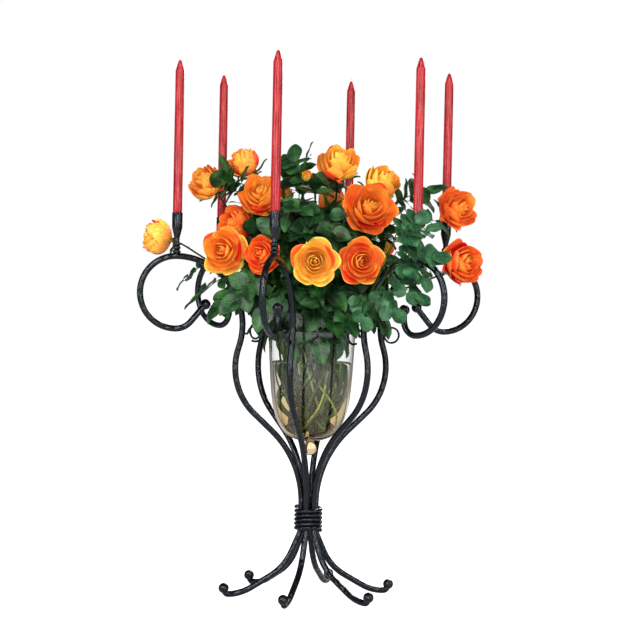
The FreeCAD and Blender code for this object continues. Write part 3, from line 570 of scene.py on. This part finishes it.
def petal_grid(ring, rank, turn, shut, dice):
    """One petal: a patch of the bloom's cup with a rounded, rolled and slightly waved rim.

    rank is 0 for the heart's petals and 1 for the outermost, which open and roll the most.
    """
    across = np.linspace(-1, 1, 9)[None, :]
    along = np.linspace(0, 1, 9)[:, None]
    tip = 1 - (0.12 + 0.30 * rank) * np.abs(across) ** (2.2 - 1.05 * rank)
    reach = along * tip * dice.uniform(0.96 - 0.10 * rank, 1.05)
    out, up = ring_curve(ring.side, reach)
    openness = rank * rank
    out = out * (1 - shut * 0.5 * openness * along)
    up = up + shut * 0.45 * openness * along
    widening = np.sin(np.minimum(along / PETAL_WIDEST, 1) * math.pi / 2)
    narrowing = np.maximum(along - PETAL_WIDEST, 0) / (1 - PETAL_WIDEST)
    spread = 0.42 + 0.58 * widening - 0.22 * narrowing
    angle = turn + ring.half_turn * across * spread
    roll = np.abs(across) ** 2 * along ** 3
    out = out * (1 + 0.06 * across) - 0.04 * rank * roll + dice.uniform(-0.03, 0.03) * along
    up = up - 0.32 * rank * roll + 0.05 * rank * (1 - np.abs(across)) ** 2 * along ** 4
    wave = np.sin(across * dice.uniform(3, 6) + dice.uniform(0, 6)) * along ** 2
    out = out + 0.025 * wave
    up = up + 0.020 * np.roll(wave, 1, axis=1) * (0.4 + rank)
    return np.stack([out * np.cos(angle), out * np.sin(angle), up + 0 * angle], axis=-1), across, along


def bloom_grids(look, dice):
    """Every petal of a rose about its own Z axis, with its tints and painted shade, at radius 1."""
    grids = []
    turn = look.spin
    for number, ring in enumerate(RINGS):
        rank = number / (len(RINGS) - 1)
        for index in range(ring.count):
            place = turn + index * 2 * math.pi / ring.count + dice.uniform(-0.14, 0.14)
            grid, across, along = petal_grid(ring, rank, place, look.shut, dice)
            tint = look.heart + (look.outside - look.heart) * rank ** 0.8
            outer = number >= len(RINGS) - 2
            if outer and index == (number + int(look.spin * 3)) % ring.count:
                tint = look.stray
            edge = np.maximum(along ** 7, np.abs(across) ** 9 * along)
            # The term in (1 - along) makes each petal deeper red towards its base: painted shade deep in
            # the bloom.
            tint = tint + look.rim * edge + 0.34 * (1 - along) ** 1.5 + dice.uniform(-0.07, 0.05)
            grids.append((grid, tint))
        turn += math.pi / ring.count + 0.45
    return grids


def settle(grid, matrix):
    """Carry a grid of points by a 4 by 4 matrix."""
    flat = grid.reshape(-1, 3)
    turned_points = flat @ np.array(matrix.to_3x3()).T + np.array(matrix.translation)
    return turned_points.reshape(grid.shape)


def aim(point, facing, scale):
    """A matrix that scales, carries +Z to a direction, and moves to a point."""
    turn = facing.to_track_quat("Z", "Y").to_matrix().to_4x4()
    return Matrix.Translation(point) @ turn @ Matrix.Scale(scale, 4)


def facing_of(turn, lean):
    """A direction from its turn about the vertical and its lean from it, both in radians."""
    return Vector((math.sin(lean) * math.cos(turn), math.sin(lean) * math.sin(turn), math.cos(lean)))


def add_calyx(patches, matrix):
    """The green hip under a bloom and its five narrow sepals, in units of the bloom's radius."""
    # turned() takes thousandths, here of the bloom's radius.
    hip = turned([(30, -720), (95, -690), (130, -620), (110, -540), (60, -500)], 10)
    patches.add(settle(hip, matrix), 0.6, closed=True)
    for index in range(5):
        turn = index * 2 * math.pi / 5
        along = np.linspace(0, 1, 7)[:, None]
        across = np.linspace(-1, 1, 3)[None, :]
        width = 0.13 * (1 - along) ** 0.7 * np.minimum(along * 6 + 0.4, 1)
        out, up = ring_curve(((0.10, -0.58), (0.55, -0.66), (0.62, -0.40), (0.86, -0.52)), along)
        side = across * width
        grid = np.stack([
            out * math.cos(turn) - side * math.sin(turn),
            out * math.sin(turn) + side * math.cos(turn),
            up - 0.06 * np.abs(across) + 0 * side,
        ], axis=-1)
        patches.add(settle(grid, matrix), 0.6)


def build_rose(node, look, petals, greens, name=None, centre=None, radius=None):
    """One rose where its CAD bloom is. Returns it, the point where its stalk joins, and its facing."""
    dice = random.Random(name or node)
    centre = centre or centre_of(node)
    radius = radius or bloom_radius(node) * (look.size + SHUT_REACH * look.shut)
    turn = math.atan2(centre.y, centre.x) + math.radians(look.swing)
    facing = facing_of(turn, math.radians(look.lean))
    matrix = aim(centre, facing, radius)
    patches = Patches()
    for grid, tint in bloom_grids(look, dice):
        patches.add(settle(grid, matrix), tint)
    rose = patches.build(name or node + "_petals", petals, 1)
    add_calyx(greens, matrix)
    return rose, centre - facing * radius * 0.7, facing


def bloom_radius(node):
    """A little more than the distance from a bloom's middle to its farthest point."""
    centre = centre_of(node)
    return max((Vector(v.co) - centre).length for v in NODES[node].data.vertices) * 1.05


def loose_parts(node):
    """The (centre, radius) of each separate bloom in a node that holds several."""
    mesh = NODES[node].data
    points = np.empty(len(mesh.vertices) * 3, dtype=np.float32)
    mesh.vertices.foreach_get("co", points)
    points = points.reshape(-1, 3)
    owner = np.arange(len(points))
    edges = np.array([edge.vertices[:] for edge in mesh.edges])
    changed = True
    while changed:
        least = np.minimum(owner[edges[:, 0]], owner[edges[:, 1]])
        before = owner.copy()
        np.minimum.at(owner, edges[:, 0], least)
        np.minimum.at(owner, edges[:, 1], least)
        owner = owner[owner]
        changed = bool((owner != before).any())
    parts = []
    for label in np.unique(owner):
        cloud = points[owner == label]
        middle = (cloud.min(axis=0) + cloud.max(axis=0)) / 2
        parts.append((Vector(middle.tolist()), float(np.linalg.norm(cloud - middle, axis=1).max())))
    return merged_parts(parts)


def merged_parts(parts):
    """Keep one part for each bloom where the mesh is split along its seams."""
    blooms = []
    for centre, radius in sorted(parts, key=lambda part: -part[1]):
        if all((centre - other).length > max(reach * 0.9, radius) for other, reach in blooms):
            blooms.append((centre, radius))
    return blooms


# ---------------------------------------------------------------- leaves

# How far leaves and twigs keep from the ironwork, the candles and the roses.
CLEARANCE = 2.0 * MM

# In millimetres, where twigs leave the vase, as (reach, height), and how far aside their stems are
# led to get past the ironwork and the roses, nearest way first.
MOUTH = (62, 690)
DETOURS = (0, 24, -24, 48, -48, 80, -80)

# How far a twig sags, as a share of its length.
TWIG_SAG = 0.18


def leaf_grid(length, width, bend, fold, round_leaf):
    """A leaf lying along +Y with its face to +Z, folded at its midrib and drooping.

    It is either rounded and smooth, or pointed and toothed.
    """
    along = np.linspace(0, 1, 11 if round_leaf else 19)[:, None]
    across = np.array([-1, -0.6, 0, 0.6, 1])[None, :]
    if round_leaf:
        outline = np.sqrt(np.maximum(1 - (2 * along - 1) ** 2, 0)) * (0.86 + 0.28 * along)
        half = width / 2 * outline
    else:
        outline = np.sin(math.pi * along ** 0.80) ** 0.75
        notch = (np.arange(len(along)) % 2)[:, None] * 0.05
        half = width / 2 * outline * (1 - notch * (np.abs(across) > 0.9))
    x = across * half
    y = length * np.sin(bend * along) / bend
    z = -length * (1 - np.cos(bend * along)) / bend
    z = z + fold * np.abs(x) + 0.05 * width * np.sin(along * 9) * (across ** 2)
    return np.stack([x, y + 0 * x, z + 0 * x], axis=-1)


def leaf_matrix(point, direction, face):
    """A matrix that lays a leaf from a point along a direction, with its face turned to face."""
    direction = direction.normalized()
    aside = direction.cross(face)
    if aside.length < 0.05:
        aside = direction.orthogonal()
    aside.normalize()
    up = aside.cross(direction)
    turn = Matrix((aside, direction, up)).transposed().to_4x4()
    return Matrix.Translation(point) @ turn


class Greenery:
    """Leaves and their twigs, kept clear of the ironwork, the candles and the roses."""

    def __init__(self, solids, round_leaf):
        self.leaves = Patches()
        self.twigs = Patches()
        self.solids = solids
        self.round_leaf = round_leaf

    def free(self, grid):
        return all(
            tree.find_nearest(Vector(point), CLEARANCE)[0] is None
            for point in grid.reshape(-1, 3).tolist()
            for tree in self.solids
        )

    def leaf(self, point, direction, face, length):
        """Add one leaf if there is room for it, in one of three directions."""
        width = length * (rng.uniform(0.82, 0.98) if self.round_leaf else rng.uniform(0.64, 0.80))
        bend = rng.uniform(0.2, 0.9)
        fold = rng.uniform(0.10, 0.30)
        grid = leaf_grid(length, width, bend, fold, self.round_leaf)
        for _ in range(3):
            placed = settle(grid, leaf_matrix(point, direction, face))
            if self.free(placed):
                self.leaves.add(placed)
                return
            direction = (direction + jitter(0.6)).normalized()

    def carry(self, start):
        """A thin stem from the mouth of the vase to the start of a twig, if there is room for it."""
        reach, height = MOUTH
        outward = Vector((start.x, start.y, 0.0)).normalized()
        mouth = outward * reach * MM + UP * height * MM
        drop = max(start.to_2d().length - 200 * MM, 0.0) * 0.6
        for sideways in DETOURS:
            middle = mouth.lerp(start, 0.5) + UP.cross(outward) * sideways * MM - UP * drop
            path = smooth_path([mouth, middle, start], 6)
            stem = tube(path, [1.3 * MM] * len(path), 5)
            if self.free(stem[1:-1]):
                self.twigs.add(stem, 0.45, closed=True)
                return

    def spray(self, start, direction, face, length, size, pairs):
        """A twig with a leaf at its end and pairs of leaves along it."""
        direction = direction.normalized()
        sag = Vector((0, 0, -TWIG_SAG * length))
        end = start + direction * length + sag
        middle = start.lerp(end, 0.5) - sag * 0.5
        path = smooth_path([start, middle, end], 6)
        radii = list(np.linspace(1.5, 0.8, len(path)) * MM)
        twig = tube(path, radii, 6)
        if not self.free(twig):
            return
        self.twigs.add(twig, 0.55, closed=True)
        self.carry(start)
        self.leaf(end, direction + jitter(0.2), face, size * 1.1)
        aside = direction.cross(face).normalized()
        for pair in range(pairs):
            point = path[int((pair + 0.6) / pairs * (len(path) - 1))]
            for side in (-1, 1):
                heading = direction * 0.55 + aside * side * 0.9 + jitter(0.25)
                self.leaf(point, heading, face + jitter(0.35), size * rng.uniform(0.78, 1.05))


def jitter(amount):
    return Vector([rng.uniform(-amount, amount) for _ in range(3)])


def tree_of(things):
    """One search tree over the shown shape of several objects."""
    points, faces, offset = [], [], 0
    graph = bpy.context.evaluated_depsgraph_get()
    for thing in things:
        mesh = thing.evaluated_get(graph).to_mesh()
        points += [thing.matrix_world @ v.co for v in mesh.vertices]
        faces += [[index + offset for index in polygon.vertices] for polygon in mesh.polygons]
        offset = len(points)
    return BVHTree.FromPolygons(points, faces)


def polar(turn, reach, height):
    """A point from its turn in degrees and its reach and height in millimetres."""
    turn = math.radians(turn)
    return Vector((reach * math.cos(turn), reach * math.sin(turn), height)) * MM


def outward_at(turn):
    """The level direction away from the middle, at a turn in degrees."""
    return polar(turn, 1000, 0)


# The leaf dome's outline: (reach, height) in millimetres, from the vase's rim to the dome's crown.
DOME = [(98, 690), (128, 735), (172, 780), (196, 830), (196, 880), (170, 930), (128, 972), (64, 992)]

# In millimetres, the height where the dome's sprays grow level, how far from there they grow steeply
# up or down, and the height where they thin out.
DOME_LEVEL = 860
DOME_STEEP = 130
DOME_THIN = 930

# How many single leaves are tried between the blooms, and in the vase's mouth.
GAP_LEAVES = 520
VASE_LEAVES = 120

# Sprays placed one by one: turn in degrees, reach and height in millimetres, the way they point as
# (out, along the turn, up), length and leaf size in millimetres, and pairs of leaves.
SPRAYS = [
    (-130, 40, 985, (-0.10, -0.45, 1.0), 84, 50, 3),
    (-150, 30, 1000, (0.2, 0.5, 1.0), 70, 44, 2),
    (-178, 150, 955, (0.7, 0.2, 0.4), 62, 56, 2),
    (-176, 165, 960, (0.6, 0.1, 1.0), 66, 62, 3),
    (-165, 170, 985, (1.0, 0.2, 0.3), 50, 60, 2),
    (-12, 205, 955, (1.0, 0.0, 0.5), 66, 58, 3),
    (-120, 115, 905, (0.8, 0.4, 0.3), 70, 56, 3),
    (-95, 130, 925, (0.8, -0.3, 0.2), 66, 54, 3),
    (-80, 150, 880, (1.0, 0.2, 0.1), 60, 56, 2),
    (-100, 160, 850, (1.0, 0.1, -0.1), 50, 52, 2),
    (-22, 170, 930, (1.0, 0.0, 0.5), 96, 52, 3),
    (-8, 190, 900, (1.0, 0.1, 0.3), 104, 50, 3),
    (-128, 205, 770, (0.8, -0.4, -0.7), 60, 62, 3),
    (-142, 200, 760, (0.8, -0.3, -0.8), 62, 64, 3),
    (-118, 185, 750, (0.6, -0.2, -0.9), 52, 60, 2),
    (-158, 215, 770, (1.0, -0.2, -0.5), 70, 54, 3),
    (-72, 165, 735, (0.7, 0.3, -0.8), 60, 54, 3),
    (-50, 190, 735, (0.7, 0.1, -0.7), 62, 54, 3),
]
ROUND_SPRAYS = [
    (-57, 342, 862, (0.6, 0.85, 0.5), 72, 42, 4),
    (-57, 345, 832, (0.6, 0.85, 0.0), 80, 42, 4),
    (-57, 342, 804, (0.6, 0.85, -0.3), 78, 42, 4),
    (-59, 325, 778, (0.5, 0.80, -0.5), 70, 40, 3),
    (-56, 335, 872, (0.6, 0.85, 0.9), 56, 40, 3),
    (-61, 288, 745, (0.4, 0.50, -0.6), 54, 38, 3),
    (-60, 258, 780, (0.8, 0.0, -0.8), 64, 38, 4),
    (-40, 240, 800, (0.9, 0.5, -0.2), 66, 36, 4),
    (-30, 255, 815, (0.9, 0.2, -0.2), 64, 36, 4),
    (-62, 215, 735, (0.6, 0.1, -0.9), 52, 36, 3),
    (-45, 205, 730, (0.5, 0.1, -0.9), 56, 36, 3),
    (-168, 255, 800, (1.0, -0.6, -0.6), 70, 30, 3),
    (-150, 240, 770, (0.9, -0.4, -0.8), 66, 38, 3),
]


def plant(greenery, rows):
    """Plant the sprays of one table."""
    for turn, reach, height, heading, length, size, pairs in rows:
        outward = outward_at(turn)
        sideways = UP.cross(outward)
        direction = outward * heading[0] + sideways * heading[1] + UP * heading[2]
        face = (outward + UP * 0.7 + jitter(0.3)).normalized()
        greenery.spray(polar(turn, reach, height), direction, face, length * MM, size * MM, pairs)


def plant_dome(greenery):
    """Cover the leaf dome with sprays, denser low down, all the way round."""
    for row, (reach, height) in enumerate(DOME):
        spacing = 12 if height < DOME_THIN else 26
        count = max(3, int(reach / spacing))
        for index in range(count):
            turn = (index + 0.5 * (row % 2) + rng.uniform(-0.3, 0.3)) * 360 / count
            outward = outward_at(turn)
            lift = (height - DOME_LEVEL) / DOME_STEEP
            direction = outward * (1.1 - 0.5 * abs(lift)) + UP * lift + jitter(0.35)
            face = (outward * 0.7 + UP + jitter(0.4)).normalized()
            start = polar(turn, reach * 0.72, height - 12)
            length = rng.uniform(36, 58) * MM
            size = rng.uniform(50, 68) * MM
            greenery.spray(start, direction, face, length, size, 2)


def plant_gaps(greenery):
    """Single leaves in the shade between the blooms, mostly towards the front."""
    for _ in range(GAP_LEAVES):
        turn = rng.triangular(-270, 90, -90)
        height = rng.uniform(700, 930)
        reach = rng.uniform(50, 175)
        direction = outward_at(turn + rng.uniform(-80, 80)) + UP * rng.uniform(-1.0, 0.8)
        face = (outward_at(turn) + UP * 0.4 + jitter(0.5)).normalized()
        greenery.leaf(polar(turn, reach, height), direction, face, rng.uniform(46, 66) * MM)


def plant_vase(greenery):
    """The leaves crowded in the mouth of the vase and just over the water."""
    for _ in range(VASE_LEAVES):
        turn = rng.uniform(0, 360)
        height = rng.uniform(584, 690)
        room = 62 + (height - 588) * 0.16
        start = polar(turn, room * rng.uniform(0.2, 0.72), height)
        direction = outward_at(turn + rng.uniform(-60, 60)) + UP * rng.uniform(-0.9, 0.9)
        face = (outward_at(turn) + jitter(0.5)).normalized()
        length = min(42.0, (room - 30) * 1.1)
        greenery.leaf(start, direction, face, length * MM)


# ---------------------------------------------------------------- stalks

# The turn in degrees from one stalk to the next, which never lines them up.
GOLDEN_TURN = 137.5

# How far from the middle a stalk may pass the vase's throat, and the throat's height.
THROAT_REACH = 78 * MM
THROAT_HEIGHT = 655 * MM

# How many loose stalks stand in the vase besides those of the blooms.
LOOSE_STALKS = 96


def stalk_path(foot, joint, facing):
    """A stalk from the vase's floor, through its throat, to the underside of a bloom."""
    outward = Vector((joint.x, joint.y, 0.0))
    outward = outward.normalized() if outward.length > 0.001 else Vector((1.0, 0.0, 0.0))
    throat = outward * min(joint.to_2d().length * 0.34, THROAT_REACH)
    throat.z = THROAT_HEIGHT
    bend = joint - facing * 45 * MM
    bend.z = max(bend.z - 18 * MM, 700 * MM)
    under_water = foot.lerp(throat, 0.5) - outward * 6 * MM
    over_rim = throat.lerp(bend, 0.6) + UP * 12 * MM
    return smooth_path([foot, under_water, throat, over_rim, bend, joint], 7)


def add_stalk(patches, path, thick, tint):
    """A thinning stalk of the given radius in millimetres, with a thorn at every fifth point."""
    radii = list(np.linspace(thick, thick * 0.7, len(path)) * MM)
    patches.add(tube(path, radii, 8), tint, closed=True)
    for index in range(5, len(path) - 3, 5):
        ahead = (path[index + 1] - path[index]).normalized()
        side = ahead.orthogonal().normalized()
        side.rotate(Matrix.Rotation(index * 2.4, 3, ahead))
        root = path[index] + side * thick * 0.7 * MM
        tip = root + side * 3.6 * MM - ahead * 1.6 * MM
        thorn = tube([root, root.lerp(tip, 0.5), tip], [1.2 * MM, 0.6 * MM, 0.1 * MM], 5)
        patches.add(thorn, tint, closed=True)


# ---------------------------------------------------------------- build

def dress_ironwork():
    """Give the stand's own CAD solids their forged finish."""
    iron = iron_material()
    for node in STAND:
        NODES[node].data.materials.clear()
        NODES[node].data.materials.append(iron)


def build_candles():
    wax, cotton = wax_material(), wick_material()
    for arm in ARMS:
        build_taper(arm, wax)
        build_wick(arm, cotton)


def build_roses(calyces):
    """Every bloom. Returns them, and each one's (joint, facing) for its stalk."""
    petals = petal_material()
    roses, joints = [], []

    def add(node, look, **place):
        rose, joint, facing = build_rose(node, look, petals, calyces, **place)
        roses.append(stand_for(rose, node, "bouquet"))
        joints.append((joint, facing))

    for node, look in LOOKS.items():
        add(node, look)
    for node, shut in (("rose_buds", 0.9), ("back_roses", 0.1)):
        for index, (centre, radius) in enumerate(loose_parts(node), start=1):
            tint = rng.uniform(0.1, 0.5)
            lean, spin = rng.uniform(45, 78), rng.uniform(0, 3)
            look = Look(lean, 0, spin, tint + 0.15, tint, 0.08, 0.65, shut, 1.0)
            add(node, look, name="%s_%d" % (node, index), centre=centre, radius=radius * 0.98)
    return roses, joints


def grow_stalks(joints):
    """A stalk for each bloom, and the loose ones that fill the vase."""
    stalks = Patches()
    for number, (joint, facing) in enumerate(joints):
        reach = 12 + 34 * ((number * 7) % 11) / 11
        foot = polar(number * GOLDEN_TURN, reach, 398 + 5 * (number % 4))
        add_stalk(stalks, stalk_path(foot, joint, facing), 2.9, rng.uniform(0.1, 0.9))
    for number in range(LOOSE_STALKS):
        turn = number * GOLDEN_TURN + 60
        foot = polar(turn, rng.uniform(16, 52), rng.uniform(404, 420))
        middle = polar(turn + rng.uniform(60, 300), rng.uniform(10, 66), rng.uniform(470, 520))
        mouth = polar(turn + rng.uniform(150, 210), rng.uniform(60, 90), 640)
        end = polar(turn + rng.uniform(150, 210), rng.uniform(80, 105), rng.uniform(700, 740))
        path = smooth_path([foot, middle, mouth, end], 8)
        add_stalk(stalks, path, rng.uniform(2.0, 3.6), rng.random() ** 2)
    return stalks


def grow_greenery(roses):
    """The rose leaves and the rounded sprigs, clear of the stand, the candles and the roses."""
    tapers = [bpy.data.objects["taper_%d" % arm] for arm in ARMS]
    solids = [tree_of([NODES[node] for node in STAND]), tree_of(tapers), tree_of(roses)]
    sprigs = Greenery(solids, False)
    round_sprigs = Greenery(solids, True)
    plant(round_sprigs, ROUND_SPRAYS)
    plant(sprigs, SPRAYS)
    plant_dome(sprigs)
    plant_gaps(sprigs)
    plant_vase(sprigs)
    return sprigs, round_sprigs


def build_bouquet():
    """The roses, the stalks and the leaves."""
    green = stalk_material()
    rose_leaf = leaf_material(
        "rose_leaf", (0.003, 0.012, 0.004), (0.011, 0.050, 0.013), (0.042, 0.140, 0.030), 7.0, 0.36)
    round_leaf = leaf_material(
        "round_leaf", (0.006, 0.026, 0.011), (0.017, 0.078, 0.028), (0.062, 0.185, 0.072), 5.0, 0.40)
    calyces = Patches()
    roses, joints = build_roses(calyces)
    stalks = grow_stalks(joints)
    sprigs, round_sprigs = grow_greenery(roses)
    for name, patches, finish, node, slot in (
        ("rose_leaves", sprigs.leaves, rose_leaf, "foliage", "leaves"),
        ("round_leaves", round_sprigs.leaves, round_leaf, "leaf_clusters", "leaves"),
        ("rose_stalks", stalks, green, "flower_stalks", "stalks"),
    ):
        stand_for(patches.build(name, finish), node, "bouquet")
    for name, patches in (
        ("calyces", calyces), ("leaf_twigs", sprigs.twigs), ("round_leaf_twigs", round_sprigs.twigs),
    ):
        thing = patches.build(name, green)
        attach(thing, "bouquet")


# ---------------------------------------------------------------- stage, light and camera

# Half the floor's width, in metres.
FLOOR_REACH = 40.0

# Each softbox: its name, place, (width, height) and power, in metres and watts. They all face the
# same point.
LIGHT_TARGET = Vector((0.0, 0.0, 0.8))
LIGHTS = [
    ("left_softbox", (-2.6, -2.4, 1.7), (0.6, 2.4), 85.0),
    ("right_softbox", (2.8, -2.0, 1.6), (0.6, 2.4), 65.0),
    ("front_overhead", (-0.5, -3.4, 3.2), (1.6, 1.2), 110.0),
    ("front_softbox", (0.5, -4.8, 1.5), (1.4, 1.4), 110.0),
    ("back_softbox", (1.2, 3.4, 2.4), (1.6, 1.6), 95.0),
]

# The camera: its place in metres, its lens and sensor in millimetres, and how far it tilts down and
# rolls in degrees.
CAMERA_PLACE = (0.0186, -4.463, 0.784)
LENS = 104.0
SENSOR = 36.0
TILT_DOWN = 1.50
ROLL = 1.19


def make_floor():
    mesh = bpy.data.meshes.new("floor")
    corners = [(-1, -1), (1, -1), (1, 1), (-1, 1)]
    mesh.from_pydata([(x * FLOOR_REACH, y * FLOOR_REACH, 0) for x, y in corners], [], [(0, 1, 2, 3)])
    mesh.materials.append(floor_material())
    floor = bpy.data.objects.new("floor", mesh)
    bpy.context.scene.collection.objects.link(floor)


def make_light(name, place, size, power):
    data = bpy.data.lights.new(name, "AREA")
    data.shape = "RECTANGLE"
    data.size, data.size_y = size
    data.energy = power
    light = bpy.data.objects.new(name, data)
    light.visible_transmission = False
    light.location = place
    light.rotation_euler = (LIGHT_TARGET - Vector(place)).to_track_quat("-Z", "Y").to_euler()
    bpy.context.scene.collection.objects.link(light)


def make_world():
    """A white studio: bright to look at, softer as a light, and softest in reflections."""
    world = bpy.data.worlds.new("studio")
    world.use_nodes = True
    graph = Graph(world.node_tree)
    backdrop = graph.tree.nodes["Background"]
    backdrop.inputs["Color"].default_value = (1.0, 1.0, 1.0, 1.0)
    diffuse = graph.node("ShaderNodeLightPath").outputs["Is Diffuse Ray"]
    fill = graph.maths("ADD", graph.maths("MULTIPLY", diffuse, DIFFUSE_FILL), GLOSSY_FILL)
    strength = graph.maths("MAXIMUM", graph.seen_directly(), fill)
    graph.tree.links.new(strength, backdrop.inputs["Strength"])
    bpy.context.scene.world = world


def make_camera():
    """A long lens in front, a little over the middle and tilted down, as for a catalogue picture."""
    data = bpy.data.cameras.new("camera")
    data.sensor_width = SENSOR
    data.lens = LENS
    camera = bpy.data.objects.new("camera", data)
    camera.location = CAMERA_PLACE
    tilt = Matrix.Rotation(math.radians(90.0 - TILT_DOWN), 4, "X")
    roll = Matrix.Rotation(math.radians(ROLL), 4, "Z")
    camera.rotation_euler = (tilt @ roll).to_euler()
    bpy.context.scene.collection.objects.link(camera)
    bpy.context.scene.camera = camera


dress_ironwork()
build_candles()
build_vase(glass_material(), water_material())
build_bouquet()
make_floor()
make_world()
for light in LIGHTS:
    make_light(*light)
make_camera()
bpy.context.scene.view_settings.view_transform = "Standard"
